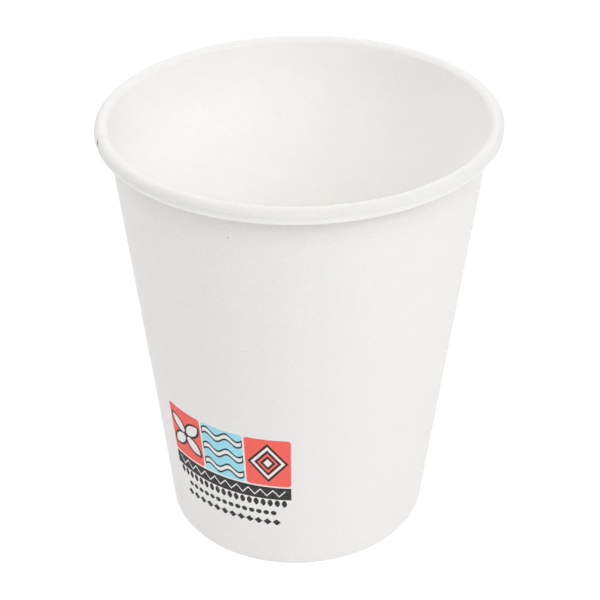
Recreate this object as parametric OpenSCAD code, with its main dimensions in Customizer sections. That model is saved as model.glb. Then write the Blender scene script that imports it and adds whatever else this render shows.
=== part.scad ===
// Single-wall paper cup with a rolled rim, a glued side seam and a recessed base.
// Two blanks of board make it: the side wall and the base disc. The cup stands on
// z = 0, with its axis on the Z axis. Sizes are in millimetres.

/* [Cup] */
// Outer diameter of the rolled rim
rim_d = 80; // [72:1:92]
// Height from the table to the top of the rim
cup_h = 92; // [70:1:130]
// Outer diameter of the wall, carried down to the table
foot_d = 55; // [46:1:62]

/* [Board] */
// Thickness of the side wall's board
wall_board = 0.35; // [0.3:0.01:0.45]
// Thickness of the base's board
base_board = 0.35; // [0.3:0.01:0.45]

/* [Rolled rim] */
// Width of the roll, across the line of the wall
roll_w = 2.8; // [2.4:0.1:3.4]
// Height of the roll, along the line of the wall
roll_h = 3.3; // [3:0.1:4.2]
// Gap between the wall and the cut edge that is tucked up inside the roll
tuck_gap = 0.06; // [0.04:0.02:0.2]
// How far the cut edge stops below the centre of the roll's top bend
tuck_low = 0.1; // [0:0.05:0.3]

/* [Side seam] */
// Width of the lap, where the blank's two edges are glued together
lap_w = 6.5; // [4:0.5:10]
// How far the outer edge of the lap stands out from the layer under it
lap_rise = 0.2; // [0.1:0.02:0.26]
// Direction that the middle of the lap faces, counted from +X
seam_angle = 189; // [0:1:359]

/* [Base] */
// Height of the base's underside above the table
recess_h = 8; // [7.5:0.5:12]
// Outer radius of the bend between the disc and its skirt
base_bend_r = 0.8; // [0.6:0.1:1.4]
// Gap between the skirt and the board on each side of it
seal_gap = 0.04; // [0.02:0.01:0.08]
// Height of the skirt's cut edge above the middle of the foot's fold
skirt_low = 0.3; // [0.2:0.1:1]

/* [Foot] */
// Height of the hem that is folded up inside the skirt
hem_h = 6.4; // [4:0.2:7]
// How much of the fold is pressed flat where it meets the table
foot_press = 0.04; // [0.02:0.01:0.08]

/* [Hidden] */

$fn = 120;
base_bend_steps = 6;

rim_r = rim_d / 2;
foot_r = foot_d / 2;

// The roll: a top bend, two short flanks and a smaller bend that leads inside
roll_r = roll_w / 2;
curl_r = roll_r - (wall_board + tuck_gap) / 2;
flank_l = roll_h - roll_r - curl_r;
roll_x = rim_r - roll_r;
roll_z = cup_h - roll_r;

// The lean of the wall: its outer face runs from the foot to the back of the roll
rise_l = norm([roll_x - foot_r, roll_z]);
lean = atan2(roll_x - foot_r, roll_z) - asin((roll_r - wall_board) / rise_l);

// The foot's fold holds the wall, the skirt between two gaps, and the hem
fold_r = wall_board + base_board / 2 + seal_gap;
fold_z = fold_r - foot_press;
fold_x = wall_board - roll_r - fold_r;
fold_y = (fold_z - roll_z + fold_x * sin(lean)) / cos(lean);
hem_l = (hem_h - fold_z) / cos(lean);

// Cuts reach this far past the cup
past = rim_d;

// Radius, at height z, of a line that lies a given depth inside the wall's outer face
function wall_x(z, depth) = foot_r + z * tan(lean) - depth / cos(lean);

// Points along an arc round a centre
function arc(centre, r, from, to) = [
    for (i = [0:base_bend_steps])
        let (a = from + (to - from) * i / base_bend_steps)
            centre + r * [cos(a), sin(a)]
];

// A length of wall board that runs up from y0 to y1, with its left face at x
module strip(x, y0, y1) {
    translate([x, y0])
        square([wall_board, y1 - y0]);
}

// Wall board bent round the origin, with an outer radius r, between two angles
module bend(r, from, to) {
    middle = (from + to) / 2;
    reach = 3 * r;
    intersection() {
        difference() {
            circle(r = r);
            circle(r = r - wall_board);
        }
        polygon([
            [0, 0],
            reach * [cos(from), sin(from)],
            reach * [cos(middle), sin(middle)],
            reach * [cos(to), sin(to)]
        ]);
    }
}

// Turns a section that is drawn in the wall's leaning frame round the cup's axis.
// That frame has its origin at the centre of the roll's top bend, with y along the wall.
module turned() {
    rotate_extrude()
        intersection() {
            translate([roll_x, roll_z])
                rotate(-lean)
                    children();
            square([past, cup_h + 1]);
        }
}

// The wall from the underside of the foot up to the edge tucked inside the roll
module wall_section() {
    bend(roll_r, 0, 180);
    strip(-roll_r, -flank_l, 0);
    strip(roll_r - wall_board, -flank_l, 0);
    translate([roll_r - curl_r, -flank_l]) {
        bend(curl_r, 180, 360);
        strip(-curl_r, 0, flank_l - tuck_low);
    }
    translate([fold_x, fold_y]) {
        strip(fold_r - wall_board, 0, -fold_y - flank_l / 2);
        bend(fold_r, -110, 0);
    }
}

// The rest of the foot's fold, and the hem that stands inside the skirt
module hem_section() {
    translate([fold_x, fold_y]) {
        bend(fold_r, -180, -70);
        strip(-fold_r, 0, hem_l);
    }
}

// The quarter of space on the seam's side of the cup that ends at y = edge
module seam_quarter(edge) {
    translate([lap_rise / 2, edge - past, -1])
        cube([past, past, cup_h + 2]);
}

// One blank: the layer under the lap keeps its place, and the layer over it is the
// same wall moved out by lap_rise. The two meet evenly on the plane halfway between.
module sidewall() {
    color("white")
        rotate(seam_angle) {
            difference() {
                turned() wall_section();
                seam_quarter(-lap_w / 2);
            }
            intersection() {
                translate([lap_rise, 0, 0])
                    turned() wall_section();
                seam_quarter(lap_w / 2);
            }
            turned() hem_section();
        }
}

// A disc of board whose edge is drawn down into a skirt, parallel to the wall
module base_disc() {
    top_z = recess_h + base_board;
    skirt_depth = wall_board + seal_gap;
    bend_z = top_z - base_bend_r;
    bend_at = [wall_x(bend_z, skirt_depth + base_bend_r), bend_z];
    edge_z = fold_z + skirt_low;
    color("whitesmoke")
        rotate_extrude()
            polygon(concat(
                [[0, top_z]],
                arc(bend_at, base_bend_r, 90, -lean),
                [[wall_x(edge_z, skirt_depth), edge_z]],
                [[wall_x(edge_z, skirt_depth + base_board), edge_z]],
                arc(bend_at, base_bend_r - base_board, -lean, 90),
                [[0, recess_h]]
            ));
}

sidewall();
base_disc();
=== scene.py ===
# %% [markdown]
# # A paper coffee cup
# A paper cup is two pieces of board. The side wall is one blank, wrapped into a cone and
# glued along a lap. Its top edge is curled outwards into the rolled rim, and its bottom edge
# is folded inwards and up. The base is a disc with a skirt, and that fold grips the skirt.
# The scene follows the factory: draw the line that each board takes in a section, turn that
# line round the cup, give it the thickness of the board, then finish its three surfaces.

# %% Load the solids that the cup has to match
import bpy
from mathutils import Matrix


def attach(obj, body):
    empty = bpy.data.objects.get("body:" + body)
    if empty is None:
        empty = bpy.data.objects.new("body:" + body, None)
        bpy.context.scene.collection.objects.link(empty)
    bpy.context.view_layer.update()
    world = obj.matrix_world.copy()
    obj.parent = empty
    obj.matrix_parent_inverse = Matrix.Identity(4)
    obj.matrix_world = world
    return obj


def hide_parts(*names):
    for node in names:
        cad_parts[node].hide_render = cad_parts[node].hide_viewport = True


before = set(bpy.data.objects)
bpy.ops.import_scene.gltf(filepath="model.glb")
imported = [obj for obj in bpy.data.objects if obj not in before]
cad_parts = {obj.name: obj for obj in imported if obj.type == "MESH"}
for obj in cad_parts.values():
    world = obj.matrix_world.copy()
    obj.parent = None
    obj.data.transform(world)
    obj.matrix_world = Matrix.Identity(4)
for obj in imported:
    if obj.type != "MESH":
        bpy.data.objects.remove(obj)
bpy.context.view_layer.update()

# %% [markdown]
# ## Sizes
# The sizes are those of an 80 mm cup for hot drinks. Lengths are written in millimetres, as
# a maker would say them, and are multiplied by MM on their way into the meshes. The lean of
# the wall isn't chosen: it is the line that just touches the back of the roll at the top and
# meets the table at the foot's radius, so it follows from the other sizes.

# %% Sizes of the board, the roll and the foot
from math import asin, atan2, cos, degrees, hypot, pi, radians, sin, sqrt, tan

import bpy
from mathutils import Matrix, Vector

MM = 0.001
RIM_R = 40.0
CUP_H = 92.0
FOOT_R = 27.5
BOARD = 0.35
HALF = BOARD / 2
ROLL_R = 1.4
ROLL_H = 3.1
TUCK_GAP = 0.06
CURL_R = ROLL_R - (BOARD + TUCK_GAP) / 2
FLANK_L = ROLL_H - ROLL_R - CURL_R
ROLL_AT = Vector((RIM_R - ROLL_R, CUP_H - ROLL_R))
LEAN = atan2(ROLL_AT.x - FOOT_R, ROLL_AT.y)
LEAN -= asin((ROLL_R - BOARD) / hypot(ROLL_AT.x - FOOT_R, ROLL_AT.y))
print(f"wall leans {degrees(LEAN):.2f} degrees, flank of the roll is {FLANK_L:.2f} mm")

# %% [markdown]
# ## Camera
# The camera comes early, because every later step is judged through it. The photograph looks
# down at the cup from the front by about 32 degrees. Its rim is an ellipse that is a little
# larger at the front than at the back, and that difference tells how far away the camera
# stood. A small roll and shift finish the fit. The camera is aimed half way up the cup.

# %% The camera
CAMERA_DOWN = radians(32.525)
CAMERA_AWAY = 0.3316
CAMERA_ROLL = radians(0.241)
CAMERA_LENS = 94.17
CAMERA_SHIFT = (0.001, 0.0184)
HALF_WAY_UP = CUP_H / 2 * MM

camera = bpy.data.objects.new("camera", bpy.data.cameras.new("camera"))
camera.data.sensor_width = 36.0
camera.data.lens = CAMERA_LENS
camera.data.shift_x, camera.data.shift_y = CAMERA_SHIFT
before_it = -CAMERA_AWAY * cos(CAMERA_DOWN)
above_it = HALF_WAY_UP + CAMERA_AWAY * sin(CAMERA_DOWN)
camera.matrix_world = (
    Matrix.Translation((0, before_it, above_it))
    @ Matrix.Rotation(pi / 2 - CAMERA_DOWN, 4, "X")
    @ Matrix.Rotation(CAMERA_ROLL, 4, "Z")
)
scene = bpy.context.scene
scene.collection.objects.link(camera)
scene.camera = camera
print("camera at", tuple(round(c, 3) for c in camera.location))

# %% [markdown]
# ## Writing nodes as sums
# Both the shape and the finishes are node trees, and a tree of Math nodes is hard to read
# when it is written link by link. Two helpers come first: one gives a socket its value,
# whether that is a number or a link, and the other adds a node and plugs its inputs.

# %% Helpers that add nodes
def plug(value, socket):
    """Gives a socket a link where the value comes from a node, and else a constant."""
    if isinstance(value, Num):
        value = value.socket
    if isinstance(value, bpy.types.NodeSocket):
        socket.id_data.links.new(value, socket)
    else:
        socket.default_value = value


def add(tree, kind, inputs=(), **settings):
    """Adds a node with its settings, and plugs its inputs by name or by number."""
    node = tree.nodes.new(kind)
    for name, value in settings.items():
        setattr(node, name, value)
    for key, value in dict(inputs).items():
        plug(value, node.inputs[key])
    return node


# %% [markdown]
# A small class does the rest: a Num holds one output socket, and adding or multiplying Nums
# makes the Math nodes. It serves geometry trees and material trees alike, because Math and
# Map Range nodes are the same in both.

# %% Numbers that nodes work out
class Num:
    """A number that a node works out."""

    def __init__(self, socket):
        self.socket = socket

    def math(self, operation, *others):
        values = enumerate((self,) + others)
        node = add(self.socket.id_data, "ShaderNodeMath", values, operation=operation)
        return Num(node.outputs[0])

    def __add__(self, other):
        return self.math("ADD", other)

    def __sub__(self, other):
        return self.math("SUBTRACT", other)

    def __mul__(self, other):
        return self.math("MULTIPLY", other)

    def __truediv__(self, other):
        return self.math("DIVIDE", other)

    def __rsub__(self, other):
        return self * -1.0 + other

    def __neg__(self):
        return self * -1.0

    def __abs__(self):
        return self.math("ABSOLUTE")


# %% [markdown]
# Four more things come up all the time: the smallest and the largest of some numbers, a
# smooth ramp from one value to another, and a vector taken apart.

# %% Least, most, ramp and split
def least(first, *others):
    for other in others:
        first = first.math("MINIMUM", other)
    return first


def most(first, *others):
    for other in others:
        first = first.math("MAXIMUM", other)
    return first


def ramp(value, low, high, start=0.0, end=1.0):
    """Goes smoothly from start to end while the value goes from low to high."""
    inputs = {"Value": value, 1: low, 2: high, 3: start, 4: end}
    tree = value.socket.id_data
    return Num(add(tree, "ShaderNodeMapRange", inputs, interpolation_type="SMOOTHSTEP").outputs[0])


def split(vector):
    """The x, y and z of a vector, as three Nums."""
    node = add(vector.id_data, "ShaderNodeSeparateXYZ", {0: vector})
    return [Num(output) for output in node.outputs]


# %% [markdown]
# ## The line that the board follows
# Cut a cup in half and its wall is one thin line: up the inside of the foot as a hem, round
# the fold, up the wall, over the roll and back up inside it. The line could be drawn by hand
# with a curve, but every bend is an arc that touches the next straight, so it is quicker and
# truer to compute it. The points are laid out in a frame that leans with the wall, where the
# straights are upright, and are then tipped into place. Each stretch says how many steps it
# is cut into: few on a straight, many in a bend.

# %% Straights and arcs
def straight(start, end, steps):
    """Points along a straight, without its last one."""
    start, end = Vector(start), Vector(end)
    return [start.lerp(end, i / steps) for i in range(steps)]


def arc(centre, radius, first, last, steps):
    """Points along an arc between two angles in degrees, without its last one."""
    angles = [radians(first + (last - first) * i / steps) for i in range(steps)]
    return [Vector((centre[0] + radius * cos(a), centre[1] + radius * sin(a))) for a in angles]


def tipped(point):
    """Where a point of the leaning frame is, as radius and height."""
    x, y = point
    return ROLL_AT + Vector((x * cos(LEAN) + y * sin(LEAN), y * cos(LEAN) - x * sin(LEAN)))


# %% [markdown]
# The fold at the foot holds three layers: the wall, the base's skirt and the hem, with a
# little room for the seal on each side. It is pressed flat where it stands on the table, so
# no point of the line comes closer to the table than half a board.

# %% The wall's line
SEAL_GAP = 0.04
HEM_TOP = 6.4
FOOT_PRESS = 0.04
TUCK_LOW = 0.1
FOLD_R = BOARD * 1.5 + SEAL_GAP
FOLD_Z = FOLD_R - FOOT_PRESS
FOLD_X = BOARD - ROLL_R - FOLD_R
FOLD_Y = (FOLD_Z - ROLL_AT.y + FOLD_X * sin(LEAN)) / cos(LEAN)


def wall_line():
    """The middle of the wall's board, from the top of the hem to the edge inside the roll."""
    fold, top, curl = FOLD_R - HALF, ROLL_R - HALF, CURL_R - HALF
    curl_x = ROLL_R - CURL_R
    hem_top = FOLD_Y + (HEM_TOP - FOLD_Z) / cos(LEAN)
    points = straight((FOLD_X - fold, hem_top), (FOLD_X - fold, FOLD_Y), 9)
    points += arc((FOLD_X, FOLD_Y), fold, 180, 360, 10)
    points += straight((FOLD_X + fold, FOLD_Y), (-top, 0), 24)
    points += arc((0, 0), top, 180, 0, 16)
    points += straight((top, 0), (top, -FLANK_L), 2)
    points += arc((curl_x, -FLANK_L), curl, 0, -180, 13)
    points += straight((curl_x - curl, -FLANK_L), (curl_x - curl, -TUCK_LOW), 3)
    points.append(Vector((curl_x - curl, -TUCK_LOW)))
    line = [tipped(point) for point in points]
    return [(radius, max(height, HALF)) for radius, height in line]


line = wall_line()
print(f"wall: {len(line)} points, rim radius {max(r for r, z in line) + HALF:.2f} mm,",
      f"top at {max(z for r, z in line) + HALF:.2f} mm")

# %% [markdown]
# The base starts at the cut edge of its skirt, runs up between wall and hem, bends over and
# ends on the axis. A flat disc of board never stays quite flat once a die has drawn its edge
# down, so it is dished by a fraction of a millimetre.

# %% The base's line
RECESS = 8.0
BEND_R = 0.8
SKIRT_LOW = 0.3
DISH = 0.25
FLAT_STEPS = 14


def within_wall(height, depth):
    """The radius of a line that lies a given depth inside the wall's outer face."""
    return FOOT_R + height * tan(LEAN) - depth / cos(LEAN)


def base_line():
    """The middle of the base's board, from the edge of the skirt to the axis."""
    depth = BOARD + SEAL_GAP + HALF
    top = RECESS + HALF
    bend = BEND_R - HALF
    bend_z = top - bend
    edge_z = FOLD_Z + SKIRT_LOW
    flat = within_wall(bend_z, depth + bend)
    bend_starts = Vector((flat, bend_z)) + bend * Vector((cos(LEAN), -sin(LEAN)))
    points = straight((within_wall(edge_z, depth), edge_z), bend_starts, 8)
    points += arc((flat, bend_z), bend, -degrees(LEAN), 90, 10)
    for i in range(FLAT_STEPS + 1):
        radius = flat * (1 - i / FLAT_STEPS)
        points.append(Vector((radius, top - DISH * cos(radius / flat * pi / 2) ** 2)))
    return [(radius, height) for radius, height in points]


line = base_line()
print(f"base: {len(line)} points, skirt radius {line[0][0] + HALF:.2f} mm")

# %% [markdown]
# ## Turning a line into a sheet
# A Spin or a Screw modifier could turn the line, but neither knows that the board overlaps
# itself at a lap. A Geometry Nodes tree can: it starts from a plain grid, takes a row of the
# grid as a point of the line and a column as a direction round the cup, and puts each grid
# point where that part of the board really lies. Its sizes are named inputs, so the wall and
# the base share one tree.

# %% The tree and its inputs
turning = bpy.data.node_groups.new("turned_board", "GeometryNodeTree")
turning.interface.new_socket("Board", in_out="OUTPUT", socket_type="NodeSocketGeometry")
TURNING_INPUTS = (
    ("Line", "Geometry"), ("Columns", "Int"), ("Start", "Float"), ("Sweep", "Float"),
    ("Lap", "Float"), ("Ease", "Float"), ("Layer", "Float"), ("Spring", "Float"),
    ("Half board", "Float"), ("Oval foot", "Float"), ("Oval rim", "Float"), ("Height", "Float"),
    ("Ripple", "Float"), ("Wrinkle", "Float"), ("Ribs", "Float"), ("Rib depth", "Float"),
    ("Print middle", "Float"), ("Print radius", "Float"), ("Seed", "Float"), ("Outside", "Material"),
)
for name, kind in TURNING_INPUTS:
    turning.interface.new_socket(name, in_out="INPUT", socket_type="NodeSocket" + kind)
given = {s.name: s for s in turning.nodes.new("NodeGroupInput").outputs if s.name}
size = {name: Num(socket) for name, socket in given.items()}
print(len(TURNING_INPUTS), "inputs")

# %% [markdown]
# Each grid point needs its place on the line and the direction in which the line runs there.
# The neighbours on either side give that direction. Turned by a right angle it becomes the
# printed side's direction, which is outwards on the wall and into the hollow of the roll.

# %% Rows are points of the line, columns go round
position = turning.nodes.new("GeometryNodeInputPosition").outputs[0]
line_size = add(turning, "GeometryNodeAttributeDomainSize", {0: given["Line"]})
rows = Num(line_size.outputs["Point Count"])
grid = {0: 1.0, 1: 1.0, 2: rows, 3: given["Columns"]}
sheet = add(turning, "GeometryNodeMeshGrid", grid).outputs[0]
across, around, _ = split(position)
row = ((across + 0.5) * (rows - 1.0)).math("ROUND")


def on_line(value, kind, offset=0.0):
    """What the line's point says, at this point's row or next to it."""
    inputs = {"Geometry": given["Line"], "Value": value, "Index": row + offset}
    return add(turning, "GeometryNodeSampleIndex", inputs, data_type=kind, clamp=True).outputs[0]


radius, _, height = split(on_line(position, "FLOAT_VECTOR"))
after = split(on_line(position, "FLOAT_VECTOR", 1.0))
before = split(on_line(position, "FLOAT_VECTOR", -1.0))
run_out, run_up = after[0] - before[0], after[2] - before[2]
run = (run_out * run_out + run_up * run_up).math("SQRT")
side_out, side_up = run_up / run, -(run_out / run)
along_name = add(turning, "GeometryNodeInputNamedAttribute", {"Name": "along"}, data_type="FLOAT")
along = Num(on_line(along_name.outputs[0], "FLOAT"))
print(len(turning.nodes), "nodes find each point's place on the line")

# %% [markdown]
# ### The lap
# The blank goes once round and a little further, and its two edges are glued over each
# other. On the wall the end of the sheet lies outside its start. Inside the roll the same
# end lies under the start, because there the printed side faces the hollow. So one rule
# makes the whole seam: near its end the sheet moves towards its printed side and near its
# start the other way, together by a layer. A strip laid over a round wall would be simpler,
# but its edge would have to be fitted by hand to the roll and the foot.
#
# Stiff board eases into the step over some millimetres, and more quickly in the tight roll.
# In the foot the skirt leaves no room inside, so there the end takes the whole step, and the
# start is lifted off the table. The curling tool presses the lap almost flush on the inside
# and the top of the roll. On its outer side nothing holds the end down, so it has sprung
# inwards and leaves a dark gap.

# %% One layer over the other
ROLL_IS_NEAR, ROLL_IS_HERE = 9.0 * MM, 5.0 * MM
LESS_EASE_IN_ROLL = 0.86
LESS_STEP_IN_ROLL = 0.4
FOOT_HOLDS_TO, WALL_IS_FREE = 9.0 * MM, 20.0 * MM

gone = (around + 0.5) * size["Sweep"]
angle = size["Start"] - gone
near_rim = ramp(height, size["Height"] - ROLL_IS_NEAR, size["Height"] - ROLL_IS_HERE)
ease = size["Ease"] * (1.0 - near_rim * LESS_EASE_IN_ROLL)
lap_starts = size["Sweep"] - size["Lap"]
near_end = ramp(gone, lap_starts - ease, lap_starts)
near_start = ramp(gone, size["Lap"], size["Lap"] + ease, 1.0, 0.0)
layer = size["Layer"] * (1.0 - near_rim * LESS_STEP_IN_ROLL)
start_takes = ramp(height, FOOT_HOLDS_TO, WALL_IS_FREE, 0.0, 0.5)
outer_side_of_roll = ramp(-side_out, 0.6, 1.0) * near_rim
sprung = outer_side_of_roll * size["Spring"]
step = near_end * most(layer * (1.0 - start_takes), sprung) - near_start * layer * start_takes
radius = radius + side_out * step
height = most(height + side_up * step, size["Half board"] + near_start * size["Layer"])
print(len(turning.nodes), "nodes with the lap")

# %% [markdown]
# ### Knurl, ripple and wrinkles
# The forming machine presses short upright ribs into the hem to lock the base in. Thin board
# is never a perfect cone either: the wall has shallow ripples some centimetres long, and the
# roll has fine wrinkles that run across it, where the board was stretched. They could be
# sculpted, but noise does the same for a cup of any size. It is read at the point's place in
# space, so the two layers of the lap ripple together and never cut through each other. Its
# patches are taller than they are wide, because the height is scaled down before it is read.

# %% Ribs on the hem, ripples in the wall, wrinkles in the roll
RIBS_START, RIBS_END = (1.1, 1.7), (5.2, 5.7)
ROLL_FROM, ROLL_TO = 4.5 * MM, 2.5 * MM
BASE_HOLDS_TO = 12.0 * MM

hem = -along
on_hem = least(ramp(hem, *RIBS_START), ramp(hem, *RIBS_END, 1.0, 0.0))
rib = most((angle * size["Ribs"]).math("SINE"), 0.0) * on_hem * size["Rib depth"]
radius = radius + side_out * rib


def soft_noise(upright, scale, detail):
    """Noise from about -1 to 1. The smaller upright is, the taller are its patches."""
    where = {0: east * radius, 1: north * radius, 2: height * upright}
    place = add(turning, "ShaderNodeCombineXYZ", where).outputs[0]
    inputs = {"Vector": place, "W": size["Seed"], "Scale": scale, "Detail": detail}
    node = add(turning, "ShaderNodeTexNoise", inputs, noise_dimensions="4D")
    return (Num(node.outputs[0]) - 0.5) * 3.0


east, north = angle.math("COSINE"), angle.math("SINE")
ripple = soft_noise(0.5, scale=42.0, detail=1.0)
wrinkle = soft_noise(0.1, scale=520.0, detail=2.0)
on_roll = ramp(height, size["Height"] - ROLL_FROM, size["Height"] - ROLL_TO)
uneven = ripple * size["Ripple"] + wrinkle * on_roll * size["Wrinkle"]
radius = radius + uneven * ramp(height, 0.0, BASE_HOLDS_TO, 0.3, 1.0)
print(len(turning.nodes), "nodes with the ribs, ripples and wrinkles")

# %% [markdown]
# ### The oval
# A hand has squeezed this cup a little, so its rim isn't round: it is longer along one
# diagonal than along the other. The oval fades towards the foot, where the base holds the
# wall in shape. A lattice could do it too, but here it takes two lines.
#
# The finishes need to know how far a point is round and up the board, in millimetres. That
# is stored first, as "wrap", while the sheet is still flat: a field is worked out anew at
# every node, and rows can't be read from a sheet that has moved. Then the points move, those
# that coincide at a seam or a pole are joined, and the tree hands over a real mesh.

# %% Put the points in place
oval = size["Oval foot"] + (size["Oval rim"] - size["Oval foot"]) * (height / size["Height"])
radius = radius * ((angle * 2.0).math("SINE") * oval * 0.5 + 1.0)
print_x = (angle - size["Print middle"]) * size["Print radius"]
wrap = add(turning, "ShaderNodeCombineXYZ", {0: print_x, 1: along}).outputs[0]
keep = {"Geometry": sheet, "Name": "wrap", "Value": wrap}
kept = add(
    turning, "GeometryNodeStoreNamedAttribute", keep, data_type="FLOAT_VECTOR", domain="POINT")
place = add(turning, "ShaderNodeCombineXYZ", {0: radius * east, 1: radius * north, 2: height})
moved = {"Geometry": kept.outputs[0], "Position": place.outputs[0]}
placed = add(turning, "GeometryNodeSetPosition", moved)
touching = {"Geometry": placed.outputs[0], "Distance": 1e-6}
joined = add(turning, "GeometryNodeMergeByDistance", touching)
real = add(turning, "GeometryNodeRealizeInstances", {0: joined.outputs[0]})
finish = {"Geometry": real.outputs[0], "Material": given["Outside"]}
finished = add(turning, "GeometryNodeSetMaterial", finish)
turning.links.new(finished.outputs[0], turning.nodes.new("NodeGroupOutput").inputs["Board"])
print(len(turning.nodes), "nodes in", turning.name)

# %% [markdown]
# ## Paper
# Board is a felt of wood fibres. From a hand's distance that shows as three things: a faint
# cloudiness of a few millimetres, a fine grain, and here and there a dark speck of bark. The
# cloudiness and the grain change the colour by a per cent or two, yet without them the cup
# would look like plastic. A scan of paper would show its edges where it repeats, so all of
# it is noise on Object coordinates. The piece stays at the origin, so the noise doesn't
# slide, and it has no seams.

# %% An empty finish
def new_finish(name):
    """A material with one Principled BSDF, its tree, and its coordinates in millimetres."""
    material = bpy.data.materials.new(name)
    material.use_nodes = True
    tree = material.node_tree
    surface = tree.nodes["Principled BSDF"]
    own = tree.nodes.new("ShaderNodeTexCoord").outputs["Object"]
    to_mm = {"Vector": own, "Scale": (1 / MM,) * 3}
    where = add(tree, "ShaderNodeMapping", to_mm).outputs[0]
    return material, tree, surface, where


# %% [markdown]
# Four kinds of node do most of the work: noise, sums of vectors, a mix of two colours, and a
# bump. A bump says how deep the relief really is, so that it stays true at any zoom.

# %% Noise, vectors, mixes and bumps
def noise(tree, where, scale, detail=2.0, roughness=0.5):
    """Noise whose patches are about 1/scale millimetres across, from 0 to 1."""
    inputs = {"Vector": where, "Scale": scale, "Detail": detail, "Roughness": roughness}
    return Num(add(tree, "ShaderNodeTexNoise", inputs).outputs[0])


def vector_math(tree, operation, *vectors):
    """A sum or product of vectors, as the socket of a node."""
    return add(tree, "ShaderNodeVectorMath", enumerate(vectors), operation=operation).outputs[0]


def mixed(tree, factor, first, second):
    """A colour that goes from the first to the second."""
    node = add(tree, "ShaderNodeMix", {0: factor}, data_type="RGBA")
    for value, number in ((first, 6), (second, 7)):
        if isinstance(value, tuple):
            value = value + (1.0,)
        plug(value, node.inputs[number])
    return node.outputs[2]


def bumped(tree, height, depth, strength=1.0):
    """A normal for a surface whose height, from 0 to 1, stands for a depth in millimetres."""
    inputs = {"Height": height, "Distance": depth * MM, "Strength": strength}
    return add(tree, "ShaderNodeBump", inputs).outputs[0]


# %% [markdown]
# Fibres are thin curved threads that lie in all directions. A cheap way to draw them is to
# take smooth noise and keep only the narrow band where it crosses its middle value: that
# band is a long winding line. Most of the grain, though, is painted light and shade: each bump
# of the felt gets a lit and a shaded side in its colour. The difference between a noise and
# the same noise a fifth of a millimetre further up and further round paints just that, and
# it has no broad patches.

# %% Fibres and clouds
GRAIN_SCALE = 3.2
GRAIN_STEP = 0.2
CLOUD_SCALE = 0.35
FELT_DEPTH = 0.03
UP = (0.0, 0.0, 1.0)


def threads(tree, where, scale, width):
    """Thin winding lines, 1 on a line and 0 off it."""
    return ramp(abs(noise(tree, where, scale, 1.0) - 0.5), 0.0, width, 1.0, 0.0)


def felt(tree, where):
    """The grain, mostly painted light and shade of the felt's relief, and the clouds, each 0 to 1."""
    fibres = threads(tree, where, 1.6, 0.03) + threads(tree, where, 2.7, 0.035)
    above = vector_math(tree, "ADD", where, (0.0, 0.0, GRAIN_STEP))
    round_axis = vector_math(tree, "NORMALIZE", vector_math(tree, "CROSS_PRODUCT", where, UP))
    beside = vector_math(tree, "MULTIPLY_ADD", round_axis, (GRAIN_STEP,) * 3, where)
    here, up, side = (noise(tree, place, GRAIN_SCALE, 1.0) for place in (where, above, beside))
    # Painted light and shade: the lit and shaded sides of the felt's bumps, as a difference of
    # noises.
    relief_light_and_shade = here * 2.0 - up - side
    clouds = ramp(noise(tree, where, CLOUD_SCALE), 0.3, 0.7)
    return ramp(relief_light_and_shade, -0.5, 0.5) * 0.9 + fibres * 0.05, clouds


def specks(tree, where, spacing, size_mm, share):
    """Rare round specks: a share of the cells of a Voronoi pattern has one."""
    inputs = {"Vector": where, "Scale": 1.0 / spacing, "Randomness": 1.0}
    cells = add(tree, "ShaderNodeTexVoronoi", inputs)
    chance, _, _ = split(cells.outputs["Color"])
    near = Num(cells.outputs["Distance"]) * spacing
    return ramp(near, size_mm * 0.3, size_mm, 1.0, 0.0) * chance.math("LESS_THAN", share)


# %% [markdown]
# ## The print
# A small ornament is printed low on the cup's front left, in coral red and light blue with
# dark line work: three tiles with petals, waves and diamonds, a dark band with a zigzag, and
# three rows of marks. It could be an image texture, but shapes worked out from distances
# stay sharp at any size. Each shape is a distance: below zero inside, above zero outside.
# The smaller of two distances joins two shapes, and the larger keeps only what they share.

# %% Shapes as distances
def box(x, y, left, right, low, high, corner=0.0):
    """A rectangle with rounded corners."""
    wide = abs(x - (left + right) / 2) - ((right - left) / 2 - corner)
    tall = abs(y - (low + high) / 2) - ((high - low) / 2 - corner)
    out = (most(wide, 0.0) * most(wide, 0.0) + most(tall, 0.0) * most(tall, 0.0)).math("SQRT")
    return out + least(most(wide, tall), 0.0) - corner


def disc(x, y, at_x, at_y, radius):
    """A round spot."""
    dx, dy = x - at_x, y - at_y
    return (dx * dx + dy * dy).math("SQRT") - radius


def leaf(a, b, length, width):
    """A pointed leaf that starts at the origin and lies along a."""
    bulge = (length * length / 4 - width * width / 4) / width
    reach = sqrt(length * length / 4 + bulge * bulge)
    return disc(a, abs(b), length / 2, -bulge, reach)


def repeat(x, pitch):
    """How far x is from the middle of the step it lies in, where equal steps fill the line."""
    return ((x / pitch).math("FRACT") - 0.5) * pitch


def inside(distance, blur=0.05):
    """1 inside a shape and 0 outside it, with an edge as soft as wet ink on board."""
    return ramp(distance, -blur, blur, 1.0, 0.0)


# %% [markdown]
# The ornament is drawn in millimetres, x to the right from its middle and y up the board
# from the table. Each of its three tiles carries a drawing, and all are made alike: the
# shape is left bare, a dark line half a millimetre wide runs round it, and ink fills the
# rest of the tile. A diamond comes from a sum, which grows faster than the distance does, so
# the sum is scaled back and the lines round the diamonds are as wide as the others.

# %% The tiles
TILES = ((-14.2, -5.0), (-4.6, 4.6), (5.0, 14.2))
TILES_LOW, TILES_HIGH = 22.9, 35.7
TILE_CORNER = 0.7
TILE_MARGIN = 0.6
SIDE_TILE_AT = 9.6
PETAL_LONG, PETAL_WIDE, HEART_R = 5.6, 2.9, 0.7
SWELL_LONG, SWELL_HIGH = 4.6, 0.7
WAVES_APART, WAVE_HALF = 4.2, 0.75
RING_R, RING_HALF, GEM_R = 2.45, 0.55, 0.95
DIAMOND_SLIM, SCALED_BACK = 1.3, 0.61
LINE_W = 0.5


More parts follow.
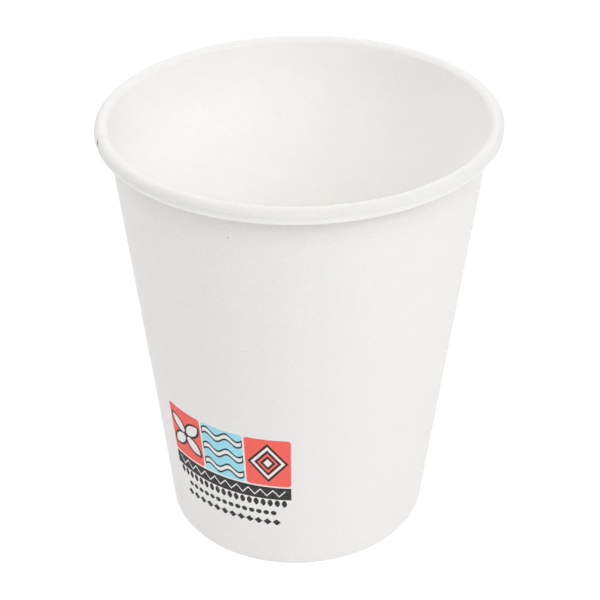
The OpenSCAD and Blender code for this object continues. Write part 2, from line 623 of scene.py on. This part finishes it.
def tiles(x, y):
    """The side tiles, the middle tile, what is drawn on them, and the dark lines."""
    middle = (TILES_LOW + TILES_HIGH) / 2
    left, centre, right = (
        box(x, y, *sides, TILES_LOW, TILES_HIGH, TILE_CORNER) for sides in TILES)

    # Four petals round a dot, on the left tile
    px, py = abs(x + SIDE_TILE_AT), abs(y - middle)
    petal = leaf((px + py) * sqrt(0.5), (px - py) * sqrt(0.5), PETAL_LONG, PETAL_WIDE)
    heart = disc(x, y, -SIDE_TILE_AT, middle, HEART_R)

    # Waves, on the middle tile
    swell = (x * (2 * pi / SWELL_LONG)).math("SINE") * SWELL_HIGH
    crest = abs(repeat(y - swell - middle + WAVES_APART / 2, WAVES_APART)) - WAVE_HALF

    # Diamonds in one another, on the right tile
    away = (abs(x - SIDE_TILE_AT) * DIAMOND_SLIM + abs(y - middle)) * SCALED_BACK
    rings = least(abs(away - RING_R) - RING_HALF, away - GEM_R)

    petals, rings = most(petal, left + TILE_MARGIN), most(rings, right + TILE_MARGIN)
    drawn = least(petals, most(crest, centre), rings)
    lines = most(abs(drawn) - LINE_W / 2, least(left, centre, right))
    return least(left, right), centre, drawn, least(lines, heart)


# %% [markdown]
# Below the tiles lies a dark band with a zigzag left bare in it, and below that are rows of
# seeds, dots and diamonds. Only one mark of each row is drawn. The place along the row
# starts anew at each step, so every step shows the same mark, up to the row's two ends.

# %% The band and the rows
BAND_HALF_WIDE = 14.2
BAND_LOW, BAND_HIGH = 19.1, 22.5
ZIGZAG_PITCH, ZIGZAG_SLOPE, ZIGZAG_END = 2.6, 1.25, 13.0
ZIGZAG_DROP, ZIGZAG_HALF = 0.8, 0.2
SEEDS_AT, SEED_PITCH, SEEDS_END = 16.9, 1.5, 13.5
SEED_LONG, SEED_WIDE = 2.1, 1.1
DOTS_AT, DOT_PITCH, DOTS_END, DOT_R = 15.1, 1.6, 11.2, 0.62
DIAMONDS_AT, DIAMOND_PITCH, DIAMONDS_END, DIAMOND_R = 12.4, 2.0, 12.0, 0.92


def band_and_rows(x, y):
    """All that is printed below the tiles, in dark ink only."""
    band = box(x, y, -BAND_HALF_WIDE, BAND_HALF_WIDE, BAND_LOW, BAND_HIGH)
    climb = abs(repeat(x, ZIGZAG_PITCH)) * ZIGZAG_SLOPE
    zigzag = abs(y - (BAND_LOW + BAND_HIGH) / 2 + ZIGZAG_DROP - climb) - ZIGZAG_HALF
    zigzag = most(zigzag, abs(x) - ZIGZAG_END)
    seed = leaf(y - SEEDS_AT, repeat(x, SEED_PITCH), SEED_LONG, SEED_WIDE)
    dot = disc(repeat(x, DOT_PITCH), y, 0.0, DOTS_AT, DOT_R)
    diamond = abs(repeat(x, DIAMOND_PITCH)) + abs(y - DIAMONDS_AT) - DIAMOND_R
    seeds, dots, diamonds = (
        most(mark, abs(x) - row_end) for mark, row_end in (
            (seed, SEEDS_END), (dot, DOTS_END), (diamond, DIAMONDS_END)))
    return least(most(band, -zigzag), seeds, dots, diamonds)


# %% [markdown]
# An ink goes where its shape is. The two colours stop where a drawing is left bare, and the
# dark ink is printed last, over them.

# %% The inks of the ornament
def ornament(x, y):
    """The places of the coral ink, the blue ink, the white left bare and the dark ink."""
    side_tiles, middle_tile, drawn, lines = tiles(x, y)
    dark = least(lines, band_and_rows(x, y))
    return inside(side_tiles), inside(middle_tile), inside(drawn + LINE_W / 2), inside(dark)


print("the ornament is", 2 * BAND_HALF_WIDE, "mm wide, with", len(TILES), "tiles")

# %% [markdown]
# ## Ink on board
# Ink on uncoated board sinks in: the fibres still show through, and a flat area of ink is
# very slightly mottled. Its edges wander by a few hundredths of a millimetre, which a bit
# of noise added to the place gives. A few specks of bark show on this cup, and they are
# placed one by one before the ink goes over them.

# %% Specks and inks
CORAL = (0.93, 0.125, 0.10)
SKY = (0.34, 0.74, 0.86)
DARK = (0.022, 0.019, 0.02)
BARK = (0.24, 0.21, 0.18)
INK_WANDERS = 0.12
SPECK_SHOWS = 0.75
SPECKS = (
    # round the board, up the board, size
    (5.1, 84.4, 0.16),
    (34.9, 82.7, 0.10),
    (6.1, 58.0, 0.12),
)


def printed_on(tree, where, paper, grain_and_relief_shade):
    """The paper's colour with specks and inks on it, and how much ink covers it."""
    x, y, _ = split(add(tree, "ShaderNodeAttribute", attribute_name="wrap").outputs["Vector"])
    for speck_x, speck_y, speck_r in SPECKS:
        speck = ramp(disc(x, y, speck_x, speck_y, 0.0), speck_r * 0.4, speck_r, SPECK_SHOWS, 0.0)
        paper = mixed(tree, speck, paper, BARK)
    wobble = (noise(tree, where, 1.4, 2.0) - 0.5) * INK_WANDERS
    coral, sky, bare, dark = ornament(x + wobble, y + wobble)
    inked = ramp(grain_and_relief_shade, 0.0, 0.4, 0.90, 1.0)
    fill = (1.0 - bare) * inked
    paper = mixed(tree, coral * fill, paper, CORAL)
    paper = mixed(tree, sky * fill, paper, SKY)
    paper = mixed(tree, dark * inked, paper, DARK)
    return paper, most(most(coral, sky) * fill, dark)


# %% [markdown]
# ## Finish: the uncoated side
# The outside of the wall is uncoated, the side that a printer wants. It scatters light
# evenly and shows almost no highlight. Light that soaks into the board could be shown by
# subsurface scattering, but in board this thin it adds little and costs time. A few more
# specks of bark fall by chance. The base shows the same board on its underside, but nothing
# is printed there, so the finish is made twice.

# %% Uncoated board, with and without print
UNCOATED = ((0.796, 0.787, 0.776), (0.884, 0.874, 0.863))
UNCOATED_ROUGH = (0.80, 0.92)
INK_SMOOTHS = 0.15


def uncoated_board(name, with_print):
    """The board as the mill made it, and with the ornament where the wall is printed."""
    material, tree, surface, where = new_finish(name)
    grain_and_relief_shade, clouds = felt(tree, where)
    # The colour carries the grain with its painted light and shade of the relief.
    tone = grain_and_relief_shade * 0.95 + clouds * 0.05
    paper = mixed(tree, tone, *UNCOATED)
    by_chance = specks(tree, where, spacing=9.0, size_mm=0.2, share=0.05)
    paper = mixed(tree, by_chance * SPECK_SHOWS, paper, BARK)
    roughness = ramp(grain_and_relief_shade, 0.0, 1.0, *UNCOATED_ROUGH)
    if with_print:
        paper, covered = printed_on(tree, where, paper, grain_and_relief_shade)
        roughness = roughness - covered * INK_SMOOTHS
    plug(paper, surface.inputs["Base Color"])
    plug(roughness, surface.inputs["Roughness"])
    surface.inputs["Specular IOR Level"].default_value = 0.3
    plug(bumped(tree, grain_and_relief_shade + clouds, FELT_DEPTH), surface.inputs["Normal"])
    return material


printed = uncoated_board("uncoated_board_printed", True)
plain_board = uncoated_board("uncoated_board", False)
for finish in (printed, plain_board):
    print(finish.name, "has", len(finish.node_tree.nodes), "nodes")

# %% [markdown]
# ## Finish: the coated side
# The inside has a skin of plastic, thinner than a hair, that keeps the drink out of the
# paper. The same face shows on the outside of the roll. A clear coat over the board could
# stand for it, but a skin this thin follows the fibres below it: it is only a little
# smoother, with a softer grain and a faint broad sheen, so a lower roughness does it.
#
# The roll is greyed with painted shade: its curled board takes a darker colour than the rest
# of the coated side. Where it turns under towards the table and the wall, painted light
# brings most of the brightness back. How far a point is up the board, in the attribute "wrap", tells
# where that is.

# %% Board under a thin coating
COATED = ((0.925, 0.918, 0.902), (0.987, 0.981, 0.963))
ROLL_PAINTED_SHADE = ((0.778, 0.771, 0.760), (0.826, 0.819, 0.807))
COATED_ROUGH = (0.60, 0.74)
ROLL_STARTS, ROLL_IS_GREY = 91.0, 93.5
TURNS_UNDER, IS_UNDER = 95.1, 96.4


def coated_board():
    """The board under its skin, with painted shade on the roll and painted light where it tucks
    under.
    """
    material, tree, surface, where = new_finish("coated_board")
    grain_and_relief_shade, clouds = felt(tree, where)
    # The colour carries the grain with its painted light and shade of the relief.
    tone = grain_and_relief_shade * 0.9 + clouds * 0.1
    _, along, _ = split(add(tree, "ShaderNodeAttribute", attribute_name="wrap").outputs["Vector"])
    # Painted shade greys the roll, and painted light lightens it again where it turns under.
    on_roll = ramp(along, ROLL_STARTS, ROLL_IS_GREY)
    under_painted_light = ramp(along, TURNS_UNDER, IS_UNDER)
    paper = mixed(
        tree, on_roll - under_painted_light * 0.8, mixed(tree, tone, *COATED), mixed(tree, tone, *ROLL_PAINTED_SHADE))
    plug(paper, surface.inputs["Base Color"])
    skin = noise(tree, where, 1.1, 2.0)
    plug(ramp(skin + grain_and_relief_shade * 0.1, 0.3, 0.8, *COATED_ROUGH), surface.inputs["Roughness"])
    surface.inputs["Specular IOR Level"].default_value = 0.1
    plug(bumped(tree, skin + grain_and_relief_shade, FELT_DEPTH), surface.inputs["Normal"])
    return material


coated = coated_board()
print(coated.name, "has", len(coated.node_tree.nodes), "nodes")

# %% [markdown]
# ## Finish: the cut edge
# Where a die cut the board, its plies show. The edge is only a third of a millimetre wide,
# a little creamier than the faces, and rough. It needs no line painted along the faces,
# because the thickness brings faces of its own, which take this finish.

# %% Cut edge
PLIES = ((0.86, 0.85, 0.81), (0.92, 0.91, 0.88))
PLIES_ROUGH = (0.85, 0.98)


def cut_edge():
    """The plies that show where the board was cut."""
    material, tree, surface, where = new_finish("cut_edge_of_board")
    plies = noise(tree, where, 6.0, 3.0, 0.7)
    plug(mixed(tree, plies, *PLIES), surface.inputs["Base Color"])
    plug(ramp(plies, 0.2, 0.8, *PLIES_ROUGH), surface.inputs["Roughness"])
    surface.inputs["Specular IOR Level"].default_value = 0.2
    plug(bumped(tree, plies, 0.06, 0.8), surface.inputs["Normal"])
    return material


edge = cut_edge()
print(edge.name, "has", len(edge.node_tree.nodes), "nodes")

# %% [markdown]
# ## Making a piece of board
# A piece is made in three steps: a line, a sheet and a thick board. The result of each step
# is turned into a plain mesh before the next. The line is a mesh of points and edges only,
# and an attribute says how far along the board each of its points lies.

# %% Plain meshes, and the line as one
def settle(piece):
    """Makes what a piece's modifiers give into its own plain mesh."""
    graph = bpy.context.evaluated_depsgraph_get()
    mesh = bpy.data.meshes.new_from_object(
        piece.evaluated_get(graph), preserve_all_data_layers=True, depsgraph=graph)
    piece.modifiers.clear()
    piece.data = mesh


def line_mesh(name, line, zero):
    """The line as a mesh, with the distance along it from the point numbered zero."""
    mesh = bpy.data.meshes.new(name)
    edges = [(i, i + 1) for i in range(len(line) - 1)]
    mesh.from_pydata([(radius * MM, 0.0, height * MM) for radius, height in line], edges, [])
    run = [0.0]
    for first, second in edges:
        run.append(run[-1] + (Vector(line[second]) - Vector(line[first])).length)
    far = mesh.attributes.new("along", "FLOAT", "POINT")
    far.data.foreach_set("value", [distance - run[zero] for distance in run])
    return mesh


# %% [markdown]
# The tree turns the line into a sheet, and a Solidify modifier gives the sheet the thickness
# of the board, half to each side. The tree could do that too, but Solidify keeps it even
# round the tight bends and knows which faces are the printed side, the other side and the
# cut edge. Edges sharper than 50 degrees stay crisp, which are those of the cut.

# %% From a line to a piece of board
SHARP = radians(50)


def board_piece(name, line, zero, sizes, finishes):
    """A finished piece of board: its finishes are printed side, other side, cut edge."""
    piece = bpy.data.objects.new(name, line_mesh(name, line, zero))
    scene.collection.objects.link(piece)
    turn = piece.modifiers.new("turn", "NODES")
    turn.node_group = turning
    sizes = {**sizes, "Outside": finishes[0]}
    for item in turning.interface.items_tree:
        if item.in_out == "INPUT" and item.name in sizes:
            turn[item.identifier] = sizes[item.name]
    settle(piece)
    piece.data.materials.clear()
    for finish in finishes:
        piece.data.materials.append(finish)
    piece.data.polygons.foreach_set("material_index", [0] * len(piece.data.polygons))
    thick = piece.modifiers.new("thickness", "SOLIDIFY")
    thick.thickness = BOARD * MM
    thick.offset = 0.0
    thick.use_even_offset = True
    thick.material_offset = 1
    thick.material_offset_rim = 2
    settle(piece)
    piece.data.name = name
    piece.data.shade_smooth()
    piece.data.set_sharp_from_angle(angle=SHARP)
    return piece


# %% [markdown]
# ## The side wall
# The lap of this cup is on its left, just behind the widest point that the camera sees. The
# sheet starts there, runs all the way round and ends over itself, further on by 4.6 mm at
# the foot and 6.5 mm at the rim. Heat and pressure squeeze the two layers into less than
# twice the board, so the step between them is less than the board's thickness. Distances up
# the board count from the lowest point of the foot's fold.

# %% Make the side wall
SEAM = radians(195.8)
PRINT_AT = radians(-120.0)
PRINT_RADIUS = 30.0
LAP = radians(9.6)
SHARED = {
    "Start": SEAM, "Half board": HALF * MM, "Height": CUP_H * MM,
    "Oval foot": 0.026, "Oval rim": 0.036, "Ripple": 0.05 * MM, "Wrinkle": 0.012 * MM,
    "Print middle": PRINT_AT, "Print radius": PRINT_RADIUS, "Seed": 3.0,
}

line = wall_line()
lowest = min(range(len(line)), key=lambda i: (line[i][1], abs(line[i][0] - FOOT_R + FOLD_R)))
wall_sizes = {
    **SHARED, "Columns": 481, "Sweep": 2 * pi + LAP, "Lap": LAP, "Ease": radians(25.0),
    "Layer": 0.24 * MM, "Spring": 0.45 * MM, "Ribs": 90.0, "Rib depth": 0.07 * MM,
}
wall = board_piece("cup_wall", line, lowest, wall_sizes, (printed, coated, edge))
print("wall:", len(wall.data.polygons), "faces,", [m.name for m in wall.data.materials])

# %% [markdown]
# ## The base
# The base is cut from the same board and goes in with its coated side up, so its finishes
# come in the other order. Its columns meet in one point on the axis and in one seam, where
# the tree joins them.

# %% Make the base
base_sizes = {
    **SHARED, "Columns": 361, "Sweep": 2 * pi, "Lap": 0.0, "Ease": 0.1,
    "Layer": 0.0, "Spring": 0.0, "Ribs": 0.0, "Rib depth": 0.0,
}
base = board_piece("cup_base", base_line(), 0, base_sizes, (coated, plain_board, edge))
print("base:", len(base.data.polygons), "faces")

# %% [markdown]
# A shell can come out of a modifier inside out, so the two pieces are measured: the printed
# side of the wall has to face away from the axis, the coated side of the base has to face
# up, and each shell has to be closed.

# %% Measure the pieces
import bmesh

WALL_BETWEEN = (20.0, 80.0)
BASE_WITHIN = 20.0


def measure(piece):
    """Prints a piece's volume, its open edges, how its faces point and its box."""
    shell = bmesh.new()
    shell.from_mesh(piece.data)
    open_edges = sum(1 for e in shell.edges if len(e.link_faces) != 2)
    volume = shell.calc_volume(signed=True) * 1e9
    shell.free()
    faces = [f for f in piece.data.polygons if f.material_index == 0]
    if piece.name == "cup_wall":
        faces = [f for f in faces if WALL_BETWEEN[0] < f.center.z / MM < WALL_BETWEEN[1]]
        right = sum(f.normal.xy.dot(f.center.xy) > 0 for f in faces) / len(faces)
    else:
        faces = [f for f in faces if f.center.xy.length / MM < BASE_WITHIN]
        right = sum(f.normal.z > 0 for f in faces) / len(faces)
    low = [min(v.co[i] for v in piece.data.vertices) / MM for i in range(3)]
    high = [max(v.co[i] for v in piece.data.vertices) / MM for i in range(3)]
    print(piece.name, f"volume {volume:.0f} mm3, {open_edges} open edges, {right:.0%} the right way,",
          "from", [round(c, 2) for c in low], "to", [round(c, 2) for c in high])


for piece in (wall, base):
    measure(piece)

# %% [markdown]
# Each piece stands for a solid of the same shape and rides on the cup's one body.

# %% Tie the pieces to the solids
for piece, node, slot in ((wall, "sidewall", "wall_board"), (base, "base_disc", "base_board")):
    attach(piece, "root")
    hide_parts(node)

# %% [markdown]
# ## Studio
# The photograph was taken on a white table in soft light from all sides, with a little more
# from the right: the outside of the cup brightens towards the right, and the inside towards
# the left. A bright world would light it evenly in one step, but lamps can be balanced one
# by one. A table that glows a little, as a light table does, keeps the ground white and
# lights the cup from below.

# %% The table
TABLE_GLOW = 0.215
TABLE_HALF = 3.0
TABLE_TOP = -0.02 * MM
TABLE_WHITE = ((0.86, 0.86, 0.86), (0.90, 0.90, 0.90))


def light_table():
    """A wide white plane just under the cup's foot."""
    mesh = bpy.data.meshes.new("table")
    ways = ((-1, -1), (1, -1), (1, 1), (-1, 1))
    corners = [(x * TABLE_HALF, y * TABLE_HALF, TABLE_TOP) for x, y in ways]
    mesh.from_pydata(corners, [], [(0, 1, 2, 3)])
    material, tree, surface, where = new_finish("white_table")
    clouds = noise(tree, where, 0.02)
    plug(mixed(tree, clouds, *TABLE_WHITE), surface.inputs["Base Color"])
    surface.inputs["Roughness"].default_value = 0.9
    surface.inputs["Emission Color"].default_value = (1.0, 1.0, 1.0, 1.0)
    surface.inputs["Emission Strength"].default_value = TABLE_GLOW
    mesh.materials.append(material)
    table = bpy.data.objects.new("table", mesh)
    scene.collection.objects.link(table)


light_table()
print(f"table: {2 * TABLE_HALF:.0f} m wide, glows with {TABLE_GLOW}")

# %% [markdown]
# The lights are large squares, aimed at the cup from the same distance. A large light makes
# soft shadows. Each is placed by its direction, counted as on the plan of a studio: 0 is to
# the right of the cup, -90 in front of it, and the second angle is the height. A low ring
# of them shines in at the mouth of the cup from all around, and a higher set lights the
# front and the top of the roll.

# %% The lights
LIGHT_AWAY = 1.2
LIGHT_SIDE = 0.7
LIGHT_AIM = Vector((0, 0, 0.05))
LIGHTS = (
    # name, direction, height, watts
    ("right_front", -30, 32, 3.1),
    ("right", 0, 32, 1.3),
    ("right_back", 45, 32, 3.0),
    ("back", 90, 32, 2.9),
    ("left_back", 135, 32, 4.7),
    ("left", 180, 32, 1.1),
    ("left_front", -135, 32, 0.5),
    ("high_front", -90, 50, 3.5),
    ("high_right_front", -45, 50, 2.9),
    ("high_left_front", -135, 50, 0.7),
    ("high_left", 180, 50, 1.9),
    ("top_front", -90, 62, 2.6),
)


def soft_light(name, direction, height, watts):
    """A square lamp that looks at the cup."""
    lamp = bpy.data.lights.new(name, "AREA")
    lamp.size = LIGHT_SIDE
    lamp.energy = watts
    light = bpy.data.objects.new(name, lamp)
    turn, rise = radians(direction), radians(height)
    out = Vector((cos(turn) * cos(rise), sin(turn) * cos(rise), sin(rise)))
    light.location = LIGHT_AIM + LIGHT_AWAY * out
    light.rotation_euler = (-out).to_track_quat("-Z", "Y").to_euler()
    scene.collection.objects.link(light)


for light_row in LIGHTS:
    soft_light(*light_row)
print(len(LIGHTS), "lights,", round(sum(watts for *_, watts in LIGHTS), 1), "watts in all")

# %% [markdown]
# The world stays dark, so that every light has its direction, and the picture keeps plain
# display colours, as a shop's picture of a cup does.

# %% The world and the view
WORLD_LIGHT = 0.0

world = bpy.data.worlds.new("studio")
world.use_nodes = True
world.node_tree.nodes["Background"].inputs["Color"].default_value = (1.0, 1.0, 1.0, 1.0)
world.node_tree.nodes["Background"].inputs["Strength"].default_value = WORLD_LIGHT
scene.world = world
scene.view_settings.view_transform = "Standard"
print("world light:", WORLD_LIGHT)
